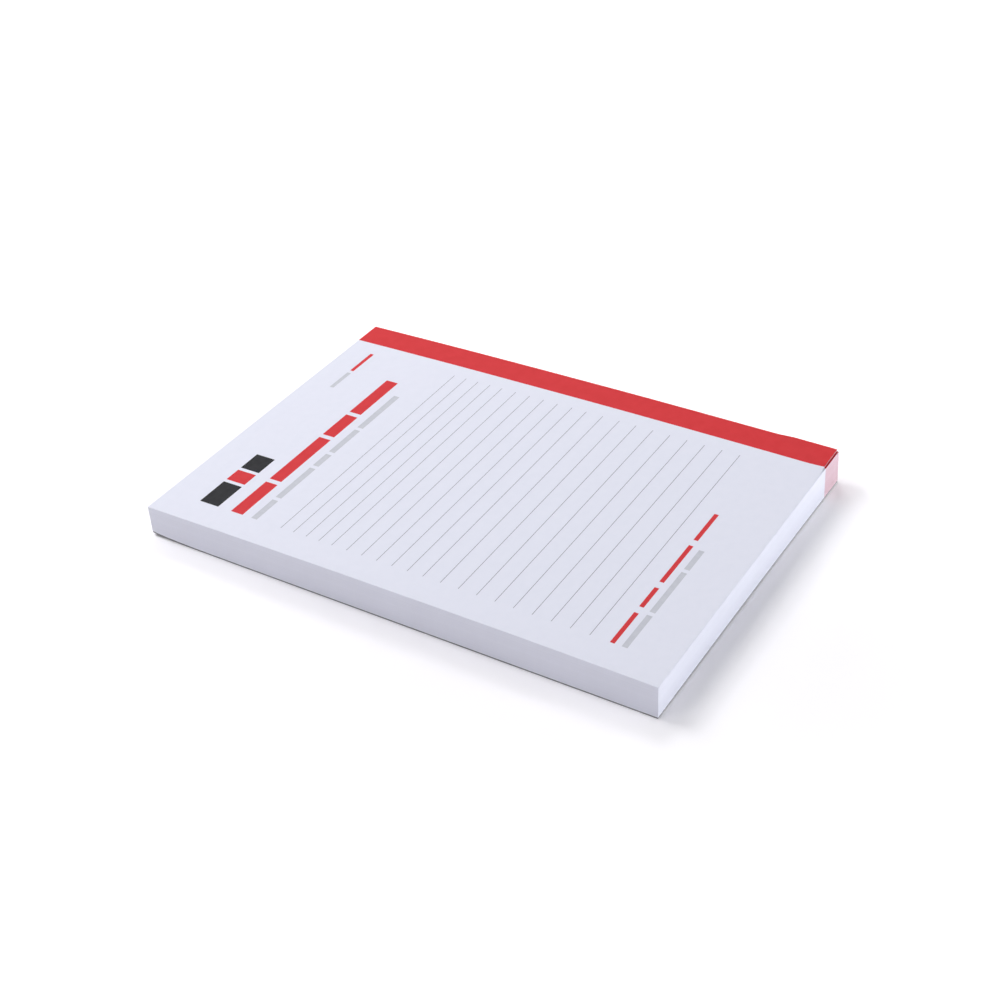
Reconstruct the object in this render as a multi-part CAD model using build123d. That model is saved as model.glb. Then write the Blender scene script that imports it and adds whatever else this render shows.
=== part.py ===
# A glued notepad: a block of A5 sheets on a thin grey board, held together by padding glue at the head.
# +X runs to the page's right edge, +Y to the glued head and +Z up, from a point under the pad's middle.
import os

from build123d import *

# Page, board and glue, in millimetres
page_width = 148.0
page_length = 210.0
board_thickness = 0.6
glue_thickness = 0.3

# Height of the sheets above the board, at the corners of the page's left edge
head_height = 12.2
foot_height = 12.8

# Extra height along the page's right edge, where every sheet carries a band of ink
band_rise = 0.6

# Rise of the bowed top above the straight line from head to foot
crown_rise = 0.8

# Leaf of top sheets that has sprung up at the foot's right corner, and the gap that it leaves
leaf_thickness = 0.25
gap_height = 0.8
gap_along_foot = 28.0
gap_along_side = 40.0

# Reach of a cutting tool past the faces that it cuts
overrun = 4.0

# Places of the head and the foot, with the pad's middle at zero
pad_length = page_length + glue_thickness
foot_y = -pad_length / 2
head_y = foot_y + page_length
page_middle_y = foot_y + page_length / 2

# Corners of the top before it is bowed, and the plane through them
across = Vector(page_width, 0, band_rise)
along = Vector(0, page_length, head_height - foot_height)
foot_left = Vector(-page_width / 2, foot_y, board_thickness + foot_height)
foot_right = foot_left + across
top_normal = across.cross(along).normalized()
top_plane = Plane(origin=foot_left + (across + along) / 2, x_dir=across, z_dir=top_normal)

# The bowed top is part of a very wide cylinder
half_chord = along.length / 2
crown_radius = (half_chord**2 + crown_rise**2) / (2 * crown_rise)
stock_height = max(head_height, foot_height) + band_rise + crown_rise + overrun


def under_top(depth):
    """Everything that lies under the bowed top by at least the depth."""
    cylinder_length = across.length + 4 * overrun
    cylinder = Cylinder(crown_radius - depth, cylinder_length, rotation=(0, 90, 0))
    return top_plane * Pos(0, 0, crown_rise - crown_radius) * cylinder


def bow(distance_from_foot):
    """Height of the bowed top above its plane, at a distance from the foot."""
    from_middle = half_chord - distance_from_foot
    return (crown_radius**2 - from_middle**2) ** 0.5 - (crown_radius - crown_rise)


def corner_gap():
    """Space between the lifted leaf and the sheets below it."""
    leaf = top_normal * leaf_thickness
    floor_corner = foot_right - leaf - top_normal * gap_height
    end_on_foot = foot_right - leaf - across * (gap_along_foot / page_width)
    end_on_side = foot_right - leaf + along * (gap_along_side / page_length)
    end_on_side += top_normal * bow(gap_along_side)
    to_foot_end = end_on_foot - floor_corner
    to_side_end = end_on_side - floor_corner
    floor = Plane(origin=floor_corner, x_dir=-to_foot_end, z_dir=to_side_end.cross(to_foot_end))
    space = Box(
        gap_along_foot + 2 * overrun,
        gap_along_side + 2 * overrun,
        gap_height + overrun,
        align=(Align.MAX, Align.MIN, Align.MIN),
    )
    return floor * Pos(overrun, -overrun) * space & under_top(leaf_thickness)


def sheet_block():
    """All the sheets, trimmed square, with the bowed top and the lifted corner."""
    stock = Box(page_width, page_length, stock_height, align=(Align.CENTER, Align.CENTER, Align.MIN))
    block = Pos(0, page_middle_y, board_thickness) * stock & under_top(0)
    return block - corner_gap()


def backing_board():
    """Board under the sheets, cut to the same outline."""
    board = Box(page_width, page_length, board_thickness, align=(Align.CENTER, Align.CENTER, Align.MIN))
    return Pos(0, page_middle_y) * board


def padding_glue():
    """Film brushed over the head edge of the board and the sheets, flush with the top sheet."""
    film_height = board_thickness + stock_height
    stock = Box(page_width, glue_thickness, film_height, align=(Align.CENTER, Align.MIN, Align.MIN))
    return Pos(0, head_y) * stock & under_top(0)


nodes = {
    "sheet_block": sheet_block(),
    "backing_board": backing_board(),
    "padding_glue": padding_glue(),
}
os.makedirs("parts", exist_ok=True)
for name, solid in nodes.items():
    export_step(solid, f"parts/{name}.step")
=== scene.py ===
import math

import bpy
import numpy as np
from mathutils import Matrix, Vector


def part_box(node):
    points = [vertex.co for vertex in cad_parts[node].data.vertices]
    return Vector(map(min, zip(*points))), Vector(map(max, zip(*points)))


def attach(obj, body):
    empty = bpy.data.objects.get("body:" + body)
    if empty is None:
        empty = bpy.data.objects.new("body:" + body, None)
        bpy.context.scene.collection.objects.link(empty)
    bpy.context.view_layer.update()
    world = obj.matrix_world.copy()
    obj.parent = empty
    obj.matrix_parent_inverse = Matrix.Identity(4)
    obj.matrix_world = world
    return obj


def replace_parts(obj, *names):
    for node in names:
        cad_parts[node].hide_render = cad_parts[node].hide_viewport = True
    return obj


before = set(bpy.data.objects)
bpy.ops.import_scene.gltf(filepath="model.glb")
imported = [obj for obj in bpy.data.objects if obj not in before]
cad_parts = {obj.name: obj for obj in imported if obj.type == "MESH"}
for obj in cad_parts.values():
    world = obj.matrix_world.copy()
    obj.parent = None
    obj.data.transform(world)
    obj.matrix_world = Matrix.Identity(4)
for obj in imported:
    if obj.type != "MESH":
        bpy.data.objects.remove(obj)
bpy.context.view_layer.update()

# Everything below is in metres, in the row frame: +X page right, +Y page head, +Z up.

# Places read from the CAD frame, and how close two places count as one
block_low, block_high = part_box("sheet_block")
LEFT, RIGHT = float(block_low[0]), float(block_high[0])
FOOT, HEAD = float(block_low[1]), float(block_high[1])
BOARD_TOP = float(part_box("backing_board")[1][2])
FILM_OUTSIDE = float(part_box("padding_glue")[1][1])
TOUCH = 1e-6

# Form of the top sheet: bowed, rolled down along its cut edges and at one corner, and a little wavy
CROWN_RISE = 0.0008
EDGE_ROLL, EDGE_ROLL_REACH = 0.00006, 0.0006
CORNER_DROOP, CORNER_DROOP_REACH = 0.0001, 0.004
WAVE_HEIGHT, WAVE_ACROSS, WAVE_ALONG, WAVE_PHASE = 0.00002, 0.11, 0.083, 1.0

# The corner at the foot, page right, where a leaf of a few top sheets has sprung up: how far it rises, the
# sheets below it sink and it is drawn back, how far the bend reaches, and how sharp it is
SHEET_THICKNESS, LEAF_THICKNESS = 0.0001, 0.00025
LIFT_RISE, LIFT_SINK, LIFT_PULL = 0.0005, 0.0002, 0.0002
LIFT_ALONG_FOOT, LIFT_ALONG_SIDE, LIFT_STEEPNESS = 0.0173, 0.026, 2.6
SHEET_CLEARANCE = 0.00001

# The stack of sheets, with a groove between each two; the groove's share is of a sheet's thickness
SHEETS = 100
SHEET_SLIP = 0.00003
GROOVE_DEPTH, GROOVE_SHARE = 0.00004, 0.2
SEED = 11

# Shades of the sheets' cut edges, from 0, dark, to 1, light; the grooves' is painted shade between sheets
TOP_SHEET_SHADE, STACK_FACE_SHADE, GROOVE_PAINTED_SHADE = 0.7, 0.5, 0.2

# A knocked corner at the head, page left, and how far the foot below the top sheet stands out: at page left,
# and at page right for the lowest and the uppermost sheet
KNOCK_RISE, KNOCK_REACH = 0.0011, 0.0075
OUT_LEFT, OUT_RIGHT_LOW, OUT_RIGHT_HIGH = 0.00013, 0.0008, 0.00038
OUT_BEND_LOW, OUT_BEND_HIGH = 3.0, 1.5

# Backing board, and glue film; each wave in the film has a length along X for each radian, and the radians
# that it turns by over the film's height
BOARD_ROUNDING = 0.00012
FILM_SINK, FILM_FEATHER, FILM_UNEVEN = 0.00005, 0.0012, 0.00006
FILM_WAVES = ((0.009, 0.0), (0.021, 7.0), (0.031, 3.0))

# Spacing of the meshes: close together at the cut edges and round the sprung corner, even between
EDGE_STEPS = (0.0, 0.00004, 0.00012, 0.0003, 0.0007, 0.0015, 0.003, 0.006)
CELL, LIFT_CELL, INK_CELL = 0.008, 0.002, 0.005
FILM_RIM_SHARE, FILM_RIM_STEPS, FILM_MIDDLE_STEPS = 0.1, 5, 17
SHARP_ANGLE, SHEET_SHARP_ANGLE = 30, 40

# The printed band and the ruled lines, whose places are measured from page left and from the head
BAND_WIDTH = 0.0127
BAND_START = RIGHT - BAND_WIDTH
LINE_WIDTH = 0.00021
LINE_FROM, LINE_TO = 0.01175, 0.1282
FIRST_LINE = 0.0528
LINE_PITCHES = ((4, 0.005645), (6, 0.00643), (9, 0.00725))
INK_RISE, INK_SINK = 0.000012, 0.00003

# The letterhead's rows, measured the same way: left and right end, near and far edge, the lengths of the
# bars in each row, as shares of it, and the gap between two bars
PRINT_LEFT = 0.0118
BLOCK_ROW = (PRINT_LEFT, 0.0460, 0.0152, 0.0238, (14, 7, 10), 0.0016)
RED_HEAD_ROW = (PRINT_LEFT, 0.1130, 0.0298, 0.0352, (4, 6, 3, 5), 0.0022)
GREY_HEAD_ROW = (PRINT_LEFT, 0.1044, 0.0392, 0.0418, (3, 5, 2, 4, 6), 0.0018)
RED_FOOT_ROW = (PRINT_LEFT, 0.0906, 0.1866, 0.1883, (3, 2, 4, 3), 0.0034)
GREY_FOOT_ROW = (PRINT_LEFT, 0.0691, 0.1909, 0.1930, (3, 4, 2), 0.0018)

# Two single bars in the upper right of the page: left, right, near and far edge
GREY_BAR = (0.0988, 0.1112, 0.0113, 0.0131)
RED_BAR = (0.1130, 0.1278, 0.0114, 0.0130)

# Colours, linear
PAPER_LIGHT, PAPER_DARK = (0.80, 0.81, 0.92), (0.785, 0.797, 0.908)
EDGE_LIGHT, EDGE_DARK = (0.785, 0.79, 0.885), (0.745, 0.75, 0.84)
PINK_LIGHT, PINK_DARK = (0.72, 0.56, 0.63), (0.68, 0.47, 0.53)
RED_LIGHT, RED_DARK = (0.695, 0.045, 0.053), (0.665, 0.040, 0.047)
LINE_GREY_LIGHT, LINE_GREY_DARK = (0.27, 0.275, 0.345), (0.235, 0.24, 0.305)
DARK_INK_LIGHT, DARK_INK_DARK = (0.032, 0.032, 0.036), (0.024, 0.024, 0.028)
GREY_INK_LIGHT, GREY_INK_DARK = (0.60, 0.61, 0.68), (0.56, 0.57, 0.64)
BOARD_LIGHT, BOARD_DARK = (0.27, 0.27, 0.285), (0.18, 0.18, 0.19)
GLUE_LIGHT, GLUE_DARK = (0.64, 0.64, 0.66), (0.52, 0.52, 0.54)
FLOOR_LIGHT, FLOOR_DARK = (0.92, 0.903, 0.941), (0.91, 0.893, 0.931)

# Finish of each surface: roughness and specular level
PAPER_FINISH, EDGE_FINISH, BOARD_FINISH = (0.7, 0.25), (0.75, 0.25), (0.85, 0.2)
STRONG_INK_FINISH, PALE_INK_FINISH = (0.6, 0.12), (0.6, 0.15)
GLUE_FINISH, FLOOR_FINISH = (0.38, 0.5), (0.9, 0.0)

# Cloudiness of each surface, in repeats per metre
PAPER_CLOUDS, RED_CLOUDS, LINE_CLOUDS, DARK_CLOUDS, GREY_CLOUDS = 300.0, 220.0, 1500.0, 400.0, 600.0
FLOOR_CLOUDS = 3.0

# Marks and grain: repeats per metre, fineness and, for drawn-out marks, the stretch of each axis
PAPER_GRAIN, EDGE_GRAIN, BOARD_GRAIN = (6000.0, 4.0), (5000.0, 3.0), (2500.0, 5.0)
KNIFE_MARKS = (600.0, 3.0, (1.0, 1.0, 0.06))
BOARD_FIBRES = (900.0, 6.0, (1.0, 0.35, 1.0))
GLUE_STREAKS = (120.0, 5.0, (1.0, 1.0, 30.0))
KNIFE_MARK_SHARE = 0.35

# Depth of the grain, and how strongly it shows
PAPER_GRAIN_DEPTH, INK_GRAIN_DEPTH, EDGE_GRAIN_DEPTH = 0.00001, 0.000008, 0.00001
BOARD_GRAIN_DEPTH, GLUE_STREAK_DEPTH = 0.00005, 0.00008
GRAIN_STRENGTH = 0.5

# Noise values up to which a colour is its dark one, and from which it is its light one
CLOUD_LIMITS, EDGE_LIMITS, FIBRE_LIMITS = (0.3, 0.7), (0.1, 0.9), (0.35, 0.65)

# Studio light, as soft boxes: azimuth from +X towards +Y, elevation, distance, width, height,
# the level that a facing white card would show, and the light's colour
NEUTRAL, COOL = (1.0, 1.0, 1.0), (0.97, 1.0, 1.005)
SOFT_BOXES = {
    "back_light": (35, 48, 1.6, 0.5, 0.5, 0.275, NEUTRAL),
    "head_light": (75, 38, 1.6, 0.5, 0.5, 0.185, NEUTRAL),
    "key": (95, 48, 1.6, 0.5, 0.5, 0.425, NEUTRAL),
    "front_light": (150, 45, 1.6, 0.5, 0.5, 0.19, NEUTRAL),
    "foot_fill": (267, 8, 1.15, 0.9, 0.28, 0.5, COOL),
    "corner_fill": (320, 9, 0.6, 0.4, 0.18, 0.27, COOL),
}

# The studio's own light, from the horizon up to a height and above, and the backdrop that the camera sees
SKY_LEVEL, HORIZON_LEVEL, HORIZON_HEIGHT = 0.12, 0.72, 0.1
BACKDROP_LEVEL = 0.915

# The floor, whose glow is painted light: it keeps the floor white away from the pad and is weaker near it, so
# that the pad's shadow stays dark; the limits are shares of nearness to the pad, for the far and the near
# glow
FLOOR_SIZE = 12.0
NEAR_GLOW, FAR_GLOW, GLOW_LIMITS = 0.112, 0.8, (0.247, 0.877)
GLOW_MIDDLE, GLOW_REACH = (-0.019, -0.006, 0.0), (0.455, 0.84, 1.0)

# Camera of the photograph, about the page's middle on the floor
PHOTO_PIXELS = 1000
SENSOR = 36.0
FOCAL_PIXELS = 1665.35
CAMERA_AZIMUTH, CAMERA_ELEVATION, CAMERA_ROLL = 33.145, 35.544, 3.281
CAMERA_DEPTH = 0.625453
CAMERA_CLIP_START = 0.01
MIDDLE_PIXEL = (496.488, 507.785)


# Surfaces of the pad, as heights over the page


def corner_height(x, y):
    """Top of the CAD block at a corner of the page."""
    places = (v.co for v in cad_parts["sheet_block"].data.vertices)
    return max(p.z for p in places if abs(p.x - x) < TOUCH and abs(p.y - y) < TOUCH)


FOOT_LEFT_Z, FOOT_RIGHT_Z = corner_height(LEFT, FOOT), corner_height(RIGHT, FOOT)
HEAD_LEFT_Z, HEAD_RIGHT_Z = corner_height(LEFT, HEAD), corner_height(RIGHT, HEAD)


def pressed_top(x, y):
    """The bowed, tapered top of the block, with rolled cut edges and one soft corner."""
    across = (x - LEFT) / (RIGHT - LEFT)
    along = (y - FOOT) / (HEAD - FOOT)
    at_foot = FOOT_LEFT_Z + (FOOT_RIGHT_Z - FOOT_LEFT_Z) * across
    at_head = HEAD_LEFT_Z + (HEAD_RIGHT_Z - HEAD_LEFT_Z) * across
    bowed = at_foot + (at_head - at_foot) * along + 4 * CROWN_RISE * along * (1 - along)
    cut_edges = (x - LEFT, RIGHT - x, y - FOOT)
    rolled = EDGE_ROLL * sum(np.exp(-d / EDGE_ROLL_REACH) for d in cut_edges)
    soft_corner = CORNER_DROOP * np.exp(-np.hypot(x - LEFT, y - FOOT) / CORNER_DROOP_REACH)
    waves = np.sin(math.tau * x / WAVE_ACROSS + WAVE_PHASE) * np.sin(math.tau * y / WAVE_ALONG)
    return bowed - rolled - soft_corner + WAVE_HEIGHT * waves


def sprung(x, y):
    """From 0 where the sheets lie flat to 1 where the foot's right corner has sprung up."""
    corner_share = np.clip(1 - (RIGHT - x) / LIFT_ALONG_FOOT - (y - FOOT) / LIFT_ALONG_SIDE, 0, 1)
    step = np.minimum(1, LIFT_STEEPNESS * corner_share)
    return step * step * (3 - 2 * step)


def page_top(x, y):
    """The top sheet's upper surface."""
    return pressed_top(x, y) + LIFT_RISE * sprung(x, y)


def leaf_under(x, y):
    """Underside of the top sheet, or of the leaf of sheets that has sprung up with it."""
    return page_top(x, y) - SHEET_THICKNESS - (LEAF_THICKNESS - SHEET_THICKNESS) * sprung(x, y)


def stack_top(x, y):
    """The uppermost of the sheets that stay behind."""
    return pressed_top(x, y) - SHEET_THICKNESS - LIFT_SINK * sprung(x, y) - SHEET_CLEARANCE


def knock(x, y):
    """How far the knocked corner's underside is pushed up."""
    return KNOCK_RISE * np.exp(-np.hypot(x - LEFT, y - HEAD) / KNOCK_REACH)


def looseness(y):
    """From 0 at the glued head to 1 at the foot, where the sheets are free to slip."""
    return (HEAD - y) / (HEAD - FOOT)


def standing_out(x, y, share):
    """How far the sheets below the top one reach out past it towards the foot.

    The share is 0 for the board and 1 for the uppermost sheet."""
    across = (x - LEFT) / (RIGHT - LEFT)
    low = OUT_LEFT + (OUT_RIGHT_LOW - OUT_LEFT) * across ** OUT_BEND_LOW
    high = OUT_LEFT + (OUT_RIGHT_HIGH - OUT_LEFT) * across ** OUT_BEND_HIGH
    return (low + (high - low) * share) * looseness(y)


# Mesh building


def places_along(low, high, extra=()):
    """Places from low to high, close together at both ends, with some extra ones between."""
    even = np.linspace(low + EDGE_STEPS[-1], high - EDGE_STEPS[-1], math.ceil((high - low) / CELL))
    ends = [low + s for s in EDGE_STEPS[:-1]] + [high - s for s in EDGE_STEPS[:-1]]
    return np.array(sorted([*even, *ends, *extra]))


def sheet_places():
    """Places across and along a sheet, closer together round the corner that has sprung up."""
    bend_xs = RIGHT - np.arange(EDGE_STEPS[-1], LIFT_ALONG_FOOT, LIFT_CELL)[1:]
    bend_ys = FOOT + np.arange(EDGE_STEPS[-1], LIFT_ALONG_SIDE, LIFT_CELL)[1:]
    return places_along(LEFT, RIGHT, (BAND_START, *bend_xs)), places_along(FOOT, HEAD, bend_ys)


def rim_of(columns, rows):
    """Places in a grid's list of points, column by column, round its rim and anticlockwise from above."""
    foot = [(i, 0) for i in range(columns - 1)]
    right = [(columns - 1, j) for j in range(rows - 1)]
    head = [(i, rows - 1) for i in range(columns - 1, 0, -1)]
    left = [(0, j) for j in range(rows - 1, 0, -1)]
    return [i * rows + j for i, j in foot + right + head + left]


def grid_faces(columns, rows, start, upward):
    """Quads of a grid whose points begin at start; both ways up, a quad begins at the same corner."""
    quads = []
    for i in range(columns - 1):
        for j in range(rows - 1):
            a = start + i * rows + j
            b, c, d = a + rows, a + rows + 1, a + 1
            quads.append((a, b, c, d) if upward else (a, d, c, b))
    return quads


def grid_points(*coordinates):
    """The points of a grid, as one list, from its x, y and z."""
    return np.stack(np.broadcast_arrays(*coordinates), axis=-1).reshape(-1, 3)


def slab(us, vs, upper, under):
    """A closed plate between two surfaces, each a function from the grid to x, y, z."""
    u, v = np.meshgrid(us, vs, indexing="ij")
    columns, rows = u.shape
    points = np.concatenate([grid_points(*upper(u, v)), grid_points(*under(u, v))])
    rim = rim_of(columns, rows)
    top = grid_faces(columns, rows, 0, True)
    bottom = grid_faces(columns, rows, u.size, False)
    sides = [(u.size + a, u.size + b, b, a) for a, b in zip(rim, rim[1:] + rim[:1])]
    return points, top, bottom, sides


def add_piece(name, points, faces, looks, materials, sharp=SHARP_ANGLE):
    """Makes one mesh piece that rides on the pad; looks gives each face's material."""
    mesh = bpy.data.meshes.new(name)
    mesh.from_pydata([tuple(map(float, p)) for p in points], [], faces)
    for material in materials:
        mesh.materials.append(material)
    mesh.polygons.foreach_set("material_index", looks)
    mesh.polygons.foreach_set("use_smooth", [True] * len(faces))
    mesh.set_sharp_from_angle(angle=math.radians(sharp))
    mesh.update()
    piece = bpy.data.objects.new(name, mesh)
    bpy.context.scene.collection.objects.link(piece)
    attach(piece, "root")
    return piece


# Materials


def shader_of(name, finish):
    """A new material, its nodes and its shader, with the finish set."""
    material = bpy.data.materials.new(name)
    material.use_nodes = True
    shader = material.node_tree.nodes["Principled BSDF"]
    roughness, specular = finish
    shader.inputs["Roughness"].default_value = roughness
    shader.inputs["Specular IOR Level"].default_value = specular
    return material, material.node_tree, shader


def noise(tree, scale, detail=2.0, stretch=(1.0, 1.0, 1.0)):
    """Noise over the piece's own place; scale is in repeats per metre."""
    place = tree.nodes.new("ShaderNodeTexCoord")
    mapping = tree.nodes.new("ShaderNodeMapping")
    mapping.inputs["Scale"].default_value = stretch
    texture = tree.nodes.new("ShaderNodeTexNoise")
    texture.inputs["Scale"].default_value = scale
    texture.inputs["Detail"].default_value = detail
    tree.links.new(place.outputs["Object"], mapping.inputs["Vector"])
    tree.links.new(mapping.outputs["Vector"], texture.inputs["Vector"])
    return texture.outputs["Fac"]


def between(tree, factor, dark, light, limits=CLOUD_LIMITS):
    """A colour that goes from dark to light as the factor goes from one limit to the other."""
    ramp = tree.nodes.new("ShaderNodeValToRGB")
    for element, position, colour in zip(ramp.color_ramp.elements, limits, (dark, light)):
        element.position, element.color = position, (*colour, 1.0)
    tree.links.new(factor, ramp.inputs["Fac"])
    return ramp.outputs["Color"]


def add_bump(tree, shader, height, depth):
    """Gives the surface a relief of the given depth."""
    bump = tree.nodes.new("ShaderNodeBump")
    bump.inputs["Strength"].default_value = GRAIN_STRENGTH
    bump.inputs["Distance"].default_value = depth
    tree.links.new(height, bump.inputs["Height"])
    tree.links.new(bump.outputs["Normal"], shader.inputs["Normal"])


def mottled(name, dark, light, finish, clouds, grain_depth):
    """Paper, bare or inked: matt, with a slight cloudiness and a fine grain."""
    material, tree, shader = shader_of(name, finish)
    tree.links.new(between(tree, noise(tree, clouds), dark, light), shader.inputs["Base Color"])
    add_bump(tree, shader, noise(tree, *PAPER_GRAIN), grain_depth)
    return material


def sheet_edges(name, dark, light):
    """Cut sheet edges: each sheet its own shade, darker in the grooves as painted shade, with the knife's
    marks across them.
    """
    material, tree, shader = shader_of(name, EDGE_FINISH)
    shade = tree.nodes.new("ShaderNodeAttribute")
    shade.attribute_name = "sheet_tone_and_painted_shade"
    mix = tree.nodes.new("ShaderNodeMix")
    mix.inputs["Factor"].default_value = KNIFE_MARK_SHARE
    tree.links.new(shade.outputs["Fac"], mix.inputs["A"])
    tree.links.new(noise(tree, *KNIFE_MARKS), mix.inputs["B"])
    colour = between(tree, mix.outputs["Result"], dark, light, EDGE_LIMITS)
    tree.links.new(colour, shader.inputs["Base Color"])
    add_bump(tree, shader, noise(tree, *EDGE_GRAIN), EDGE_GRAIN_DEPTH)
    return material


def greyboard():
    """Recycled grey board with paler and darker fibres."""
    material, tree, shader = shader_of("grey_board", BOARD_FINISH)
    colour = between(tree, noise(tree, *BOARD_FIBRES), BOARD_DARK, BOARD_LIGHT, FIBRE_LIMITS)
    tree.links.new(colour, shader.inputs["Base Color"])
    add_bump(tree, shader, noise(tree, *BOARD_GRAIN), BOARD_GRAIN_DEPTH)
    return material


def padding_glue():
    """A dried film of white glue with the sheet edges showing through."""
    material, tree, shader = shader_of("dried_glue", GLUE_FINISH)
    streaks = noise(tree, *GLUE_STREAKS)
    tree.links.new(between(tree, streaks, GLUE_DARK, GLUE_LIGHT), shader.inputs["Base Color"])
    add_bump(tree, shader, streaks, GLUE_STREAK_DEPTH)
    return material


PAPER = mottled("paper", PAPER_DARK, PAPER_LIGHT, PAPER_FINISH, PAPER_CLOUDS, PAPER_GRAIN_DEPTH)
RED_INK = mottled("red_ink", RED_DARK, RED_LIGHT, STRONG_INK_FINISH, RED_CLOUDS, INK_GRAIN_DEPTH)
LINE_INK = mottled("line_ink", LINE_GREY_DARK, LINE_GREY_LIGHT, PALE_INK_FINISH, LINE_CLOUDS, INK_GRAIN_DEPTH)
DARK_INK = mottled("dark_ink", DARK_INK_DARK, DARK_INK_LIGHT, STRONG_INK_FINISH, DARK_CLOUDS, INK_GRAIN_DEPTH)
GREY_INK = mottled("grey_ink", GREY_INK_DARK, GREY_INK_LIGHT, PALE_INK_FINISH, GREY_CLOUDS, INK_GRAIN_DEPTH)
WHITE_EDGES = sheet_edges("white_sheet_edges", EDGE_DARK, EDGE_LIGHT)
PINK_EDGES = sheet_edges("inked_sheet_edges", PINK_DARK, PINK_LIGHT)

# Each plain sheet material is followed by the one that the printed band has in its place
SHEET_MATERIALS = [PAPER, RED_INK, WHITE_EDGES, PINK_EDGES]
FACE, CUT_EDGE = SHEET_MATERIALS.index(PAPER), SHEET_MATERIALS.index(WHITE_EDGES)


# Pieces of the pad


def sheet_looks(points, faces, plain):
    """Each face's place in the sheet materials: plain, or the next one in the printed band."""
    middles = (sum(points[k][0] for k in face) / len(face) for face in faces)
    return [plain + int(middle > BAND_START) for middle in middles]


def shade_sheets(piece, shades):
    """Stores each point's shade for the cut edges' material: each sheet's tone, and painted shade in the
    grooves.
    """
    attribute = piece.data.attributes.new("sheet_tone_and_painted_shade", "FLOAT", "POINT")
    attribute.data.foreach_set("value", [float(s) for s in shades])


def top_sheet():
    """The top sheet: printed face, plain underside and cut edges."""

    def drawn_back(x, y):
        return y + LIFT_PULL * sprung(x, y)

    points, top, under, sides = slab(
        *sheet_places(),
        lambda x, y: (x, drawn_back(x, y), page_top(x, y)),
        lambda x, y: (x, drawn_back(x, y), leaf_under(x, y)))
    looks = sheet_looks(points, top, FACE) + [FACE] * len(under) + sheet_looks(points, sides, CUT_EDGE)
    faces = top + under + sides
    piece = add_piece("top_sheet", points, faces, looks, SHEET_MATERIALS, SHEET_SHARP_ANGLE)
    shade_sheets(piece, [TOP_SHEET_SHADE] * len(points))
    return piece


def page_stack():
    """The sheets below the top one: each a plate with its own slip, parted by fine grooves."""
    rng = np.random.default_rng(SEED)
    xs, ys = sheet_places()
    x, y = np.meshgrid(xs, ys, indexing="ij")
    floor, lid = BOARD_TOP + knock(x, y), stack_top(x, y)
    rim = rim_of(*x.shape)
    rim_x, rim_y, rim_floor, rim_lid = (grid.reshape(-1)[rim] for grid in (x, y, floor, lid))
    out_x = (rim_x == xs[-1]).astype(float) - (rim_x == xs[0])
    out_y = (rim_y == ys[-1]).astype(float) - (rim_y == ys[0])

    def ring(share, slip_x, slip_y, inset):
        return grid_points(
            rim_x + slip_x * looseness(rim_y) - inset * out_x,
            rim_y + slip_y * looseness(rim_y) - inset * out_y - standing_out(rim_x, rim_y, share),
            rim_floor + (rim_lid - rim_floor) * share)

    blocks = [
        grid_points(x, y - standing_out(x, y, 0), floor),
        grid_points(x, y - standing_out(x, y, 1), lid),
    ]
    shades = [STACK_FACE_SHADE] * (2 * x.size)
    half_groove = GROOVE_SHARE / 2
    under_lid = 1 - half_groove / 2 / SHEETS
    for sheet in range(SHEETS):
        slip = rng.uniform(-SHEET_SLIP, SHEET_SLIP, 2)
        shade = rng.uniform(0, 1)
        blocks.append(ring((sheet + half_groove) / SHEETS, *slip, 0))
        blocks.append(ring((sheet + 1 - half_groove) / SHEETS, *slip, 0))
        blocks.append(ring(min((sheet + 1) / SHEETS, under_lid), 0, 0, GROOVE_DEPTH))
        # The groove ring is darker: painted shade in the recess between two sheets
        shades += [shade] * (2 * len(rim)) + [GROOVE_PAINTED_SHADE] * len(rim)
    points = np.concatenate(blocks)

    ring_starts = range(2 * x.size, len(points), len(rim))
    rings = [rim, *(range(start, start + len(rim)) for start in ring_starts), [x.size + r for r in rim]]
    sides = []
    for low, high in zip(rings, rings[1:]):
        sides += [(low[n - 1], low[n], high[n], high[n - 1]) for n in range(len(rim))]
    bottom = grid_faces(*x.shape, 0, False)
    top = grid_faces(*x.shape, x.size, True)
    looks = [FACE] * len(bottom) + sheet_looks(points, top, FACE) + sheet_looks(points, sides, CUT_EDGE)
    piece = add_piece("page_stack", points, bottom + top + sides, looks, SHEET_MATERIALS)
    shade_sheets(piece, shades)
    return piece


def backing_board():
    """The grey board under the sheets, with softened edges and the knocked corner."""

    def softened(x, y):
        from_edge = np.minimum(np.minimum(x - LEFT, RIGHT - x), np.minimum(y - FOOT, HEAD - y))
        short = np.clip(BOARD_ROUNDING - from_edge, 0, BOARD_ROUNDING)
        return BOARD_ROUNDING - np.sqrt(BOARD_ROUNDING ** 2 - short ** 2)

    def upper(x, y):
        return x, y - standing_out(x, y, 0), BOARD_TOP - softened(x, y) + knock(x, y)

    def under(x, y):
        return x, y - standing_out(x, y, 0), softened(x, y) + knock(x, y)

    points, *groups = slab(places_along(LEFT, RIGHT), places_along(FOOT, HEAD), upper, under)
    faces = sum(groups, [])
    return add_piece("board", points, faces, [0] * len(faces), [greyboard()])


def film_heights():
    """Shares of the glue film's height, close together towards its rim."""
    rim = np.linspace(0, FILM_RIM_SHARE, FILM_RIM_STEPS, endpoint=False)
    middle = np.linspace(FILM_RIM_SHARE, 1 - FILM_RIM_SHARE, FILM_MIDDLE_STEPS)
    return np.concatenate([rim, middle, 1 - rim[::-1]])


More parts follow.
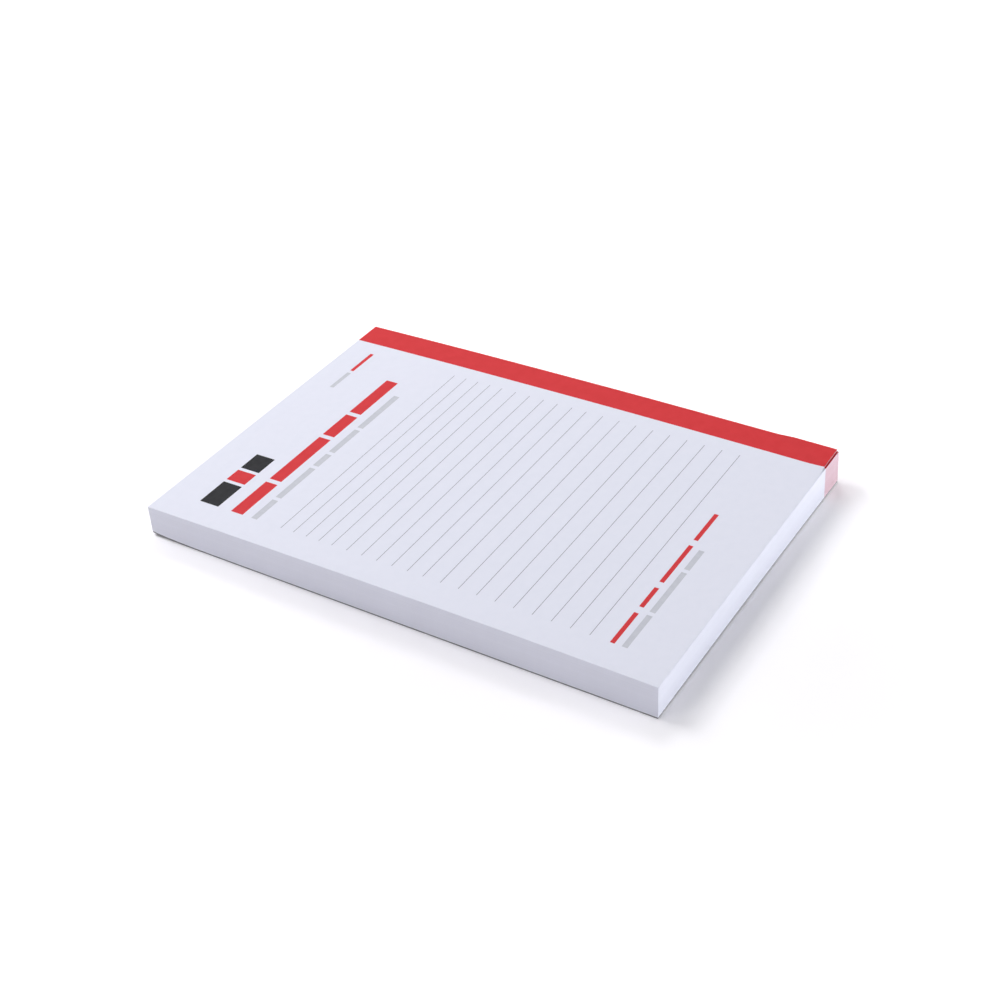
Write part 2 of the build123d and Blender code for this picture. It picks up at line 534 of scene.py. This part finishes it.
def glue_film():
    """The film of padding glue over the head: uneven, and thinner towards its rim."""

    def rise(x, share):
        low = knock(x, HEAD)
        return low + (page_top(x, HEAD) - low) * share

    def outside(x, share):
        from_end = page_top(x, HEAD) * np.minimum(share, 1 - share)
        from_rim = np.minimum(np.minimum(x - LEFT, RIGHT - x), from_end)
        full = 1 - np.exp(-from_rim / FILM_FEATHER)
        uneven = math.prod(np.sin(x / length + turn * share) for length, turn in FILM_WAVES)
        thickness = (FILM_OUTSIDE - HEAD - FILM_UNEVEN + FILM_UNEVEN * uneven) * full
        return x, HEAD + thickness, rise(x, share)

    def inside(x, share):
        return x, HEAD - FILM_SINK, rise(x, share)

    points, *groups = slab(places_along(LEFT, RIGHT)[::-1], film_heights(), outside, inside)
    faces = sum(groups, [])
    return add_piece("glue_film", points, faces, [0] * len(faces), [padding_glue()])


def printed(name, bars, material):
    """Ink on the top sheet: flat bars (left, right, near and far edge) lying on the page."""
    points, faces = [], []
    for left, right, near, far in bars:
        xs = LEFT + np.linspace(left, right, math.ceil((right - left) / INK_CELL) + 1)
        ys = HEAD - np.linspace(far, near, math.ceil((far - near) / INK_CELL) + 1)
        made, *groups = slab(
            xs, ys,
            lambda x, y: (x, y, page_top(x, y) + INK_RISE),
            lambda x, y: (x, y, page_top(x, y) - INK_SINK))
        faces += [tuple(len(points) + k for k in quad) for group in groups for quad in group]
        points += list(made)
    return add_piece(name, points, faces, [0] * len(faces), [material])


def ruled_bars():
    """Twenty ruled lines, at a pitch that widens twice down the page."""
    places = [FIRST_LINE]
    for steps, pitch in LINE_PITCHES:
        places += [places[-1] + pitch * (k + 1) for k in range(steps)]
    return [(LINE_FROM, LINE_TO, y - LINE_WIDTH / 2, y + LINE_WIDTH / 2) for y in places]


def row_of_bars(start, end, near, far, shares, gap):
    """A row of bars from start to end whose lengths are in the given shares."""
    free = end - start - gap * (len(shares) - 1)
    bars, left = [], start
    for share in shares:
        right = left + free * share / sum(shares)
        bars.append((left, right, near, far))
        left = right + gap
    return bars


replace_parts(page_stack(), "sheet_block")
top_sheet()
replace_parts(backing_board(), "backing_board")
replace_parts(glue_film(), "padding_glue")

# A generic letterhead: plain blocks and bars only
first_block, middle_block, last_block = row_of_bars(*BLOCK_ROW)
red_rows = row_of_bars(*RED_HEAD_ROW) + row_of_bars(*RED_FOOT_ROW)
grey_rows = row_of_bars(*GREY_HEAD_ROW) + row_of_bars(*GREY_FOOT_ROW)
printed("ruled_lines", ruled_bars(), LINE_INK)
printed("dark_print", [first_block, last_block], DARK_INK)
printed("red_print", [*red_rows, middle_block, RED_BAR], RED_INK)
printed("grey_print", [*grey_rows, GREY_BAR], GREY_INK)


# Floor, light and camera


def grey(level):
    """A neutral colour."""
    return (level, level, level)


def floor_material(name):
    """A pale, slightly cloudy floor: its material, nodes and shader."""
    material, tree, shader = shader_of(name, FLOOR_FINISH)
    colour = between(tree, noise(tree, FLOOR_CLOUDS), FLOOR_DARK, FLOOR_LIGHT)
    tree.links.new(colour, shader.inputs["Base Color"])
    return material, tree, shader


def glowing_floor():
    """The floor with a painted glow of light that is weaker near the pad, so that the shadow round it stays
    dark.
    """
    material, tree, shader = floor_material("painted_glow_floor")
    place = tree.nodes.new("ShaderNodeTexCoord")
    mapping = tree.nodes.new("ShaderNodeMapping")
    mapping.vector_type = "TEXTURE"
    mapping.inputs["Location"].default_value = GLOW_MIDDLE
    mapping.inputs["Scale"].default_value = GLOW_REACH
    nearness = tree.nodes.new("ShaderNodeTexGradient")
    nearness.gradient_type = "SPHERICAL"
    tree.links.new(place.outputs["Object"], mapping.inputs["Vector"])
    tree.links.new(mapping.outputs["Vector"], nearness.inputs["Vector"])
    glow = between(tree, nearness.outputs["Fac"], grey(FAR_GLOW), grey(NEAR_GLOW), GLOW_LIMITS)
    tree.links.new(glow, shader.inputs["Emission Color"])
    shader.inputs["Emission Strength"].default_value = 1.0
    return material


def add_floor():
    """A wide square floor; the patch that the pad covers has no glow."""
    half = FLOOR_SIZE / 2
    outer = [(-half, -half, 0), (half, -half, 0), (half, half, 0), (-half, half, 0)]
    covered = [(LEFT, FOOT, 0), (RIGHT, FOOT, 0), (RIGHT, HEAD, 0), (LEFT, HEAD, 0)]
    open_faces = [(k, (k + 1) % 4, 4 + (k + 1) % 4, 4 + k) for k in range(4)]
    mesh = bpy.data.meshes.new("floor")
    mesh.from_pydata(outer + covered, [], [*open_faces, (4, 5, 6, 7)])
    mesh.materials.append(glowing_floor())
    mesh.materials.append(floor_material("covered_floor")[0])
    mesh.polygons[-1].material_index = 1
    floor = bpy.data.objects.new("floor", mesh)
    bpy.context.scene.collection.objects.link(floor)


def direction(azimuth, elevation):
    """The way from the origin towards an azimuth and an elevation in degrees."""
    a, e = math.radians(azimuth), math.radians(elevation)
    return Vector((math.cos(a) * math.cos(e), math.sin(a) * math.cos(e), math.sin(e)))


def add_light(name, azimuth, elevation, distance, width, height, level, colour):
    """A soft box aimed at the pad; level 1 turns a facing white card white."""
    data = bpy.data.lights.new(name, "AREA")
    data.shape = "RECTANGLE"
    data.size, data.size_y = width, height
    data.color = colour
    data.energy = level * (math.pi * distance) ** 2
    light = bpy.data.objects.new(name, data)
    way = direction(azimuth, elevation)
    light.location = way * distance
    light.rotation_euler = way.to_track_quat("Z", "Y").to_euler()
    bpy.context.scene.collection.objects.link(light)


def add_world():
    """A plain studio: lit palely from the horizon and dimly from above, with an even backdrop to look at."""
    world = bpy.data.worlds.new("studio")
    world.use_nodes = True
    tree = world.node_tree
    place = tree.nodes.new("ShaderNodeTexCoord")
    split = tree.nodes.new("ShaderNodeSeparateXYZ")
    tree.links.new(place.outputs["Generated"], split.inputs["Vector"])
    limits = (0.0, HORIZON_HEIGHT)
    sky = between(tree, split.outputs["Z"], grey(HORIZON_LEVEL), grey(SKY_LEVEL), limits)
    room = tree.nodes["Background"]
    tree.links.new(sky, room.inputs["Color"])
    backdrop = tree.nodes.new("ShaderNodeBackground")
    backdrop.inputs["Color"].default_value = (*grey(BACKDROP_LEVEL), 1.0)
    ray = tree.nodes.new("ShaderNodeLightPath")
    choice = tree.nodes.new("ShaderNodeMixShader")
    tree.links.new(ray.outputs["Is Camera Ray"], choice.inputs["Fac"])
    tree.links.new(room.outputs["Background"], choice.inputs[1])
    tree.links.new(backdrop.outputs["Background"], choice.inputs[2])
    tree.links.new(choice.outputs["Shader"], tree.nodes["World Output"].inputs["Surface"])
    bpy.context.scene.world = world


def add_camera():
    """The photograph's camera, placed from its angles and from where the page's middle shows."""
    data = bpy.data.cameras.new("photo_camera")
    data.sensor_width = SENSOR
    data.lens = SENSOR * FOCAL_PIXELS / PHOTO_PIXELS
    data.clip_start = CAMERA_CLIP_START
    away = direction(CAMERA_AZIMUTH + 180, CAMERA_ELEVATION)
    level = Vector((0, 0, 1)).cross(away).normalized()
    upright = away.cross(level)
    roll = math.radians(CAMERA_ROLL)
    across = level * math.cos(roll) - upright * math.sin(roll)
    up = level * math.sin(roll) + upright * math.cos(roll)
    pixel_size = CAMERA_DEPTH / FOCAL_PIXELS
    right_shift, down_shift = ((pixel - PHOTO_PIXELS / 2) * pixel_size for pixel in MIDDLE_PIXEL)
    middle = Vector(((LEFT + RIGHT) / 2, (FOOT + HEAD) / 2, 0))
    place = middle + away * CAMERA_DEPTH - across * right_shift + up * down_shift
    camera = bpy.data.objects.new("photo_camera", data)
    camera.matrix_world = Matrix.Translation(place) @ Matrix((across, up, away)).transposed().to_4x4()
    bpy.context.scene.collection.objects.link(camera)
    bpy.context.scene.camera = camera


add_floor()
for name, setting in SOFT_BOXES.items():
    add_light(name, *setting)
add_world()
add_camera()
bpy.context.scene.view_settings.view_transform = "Standard"
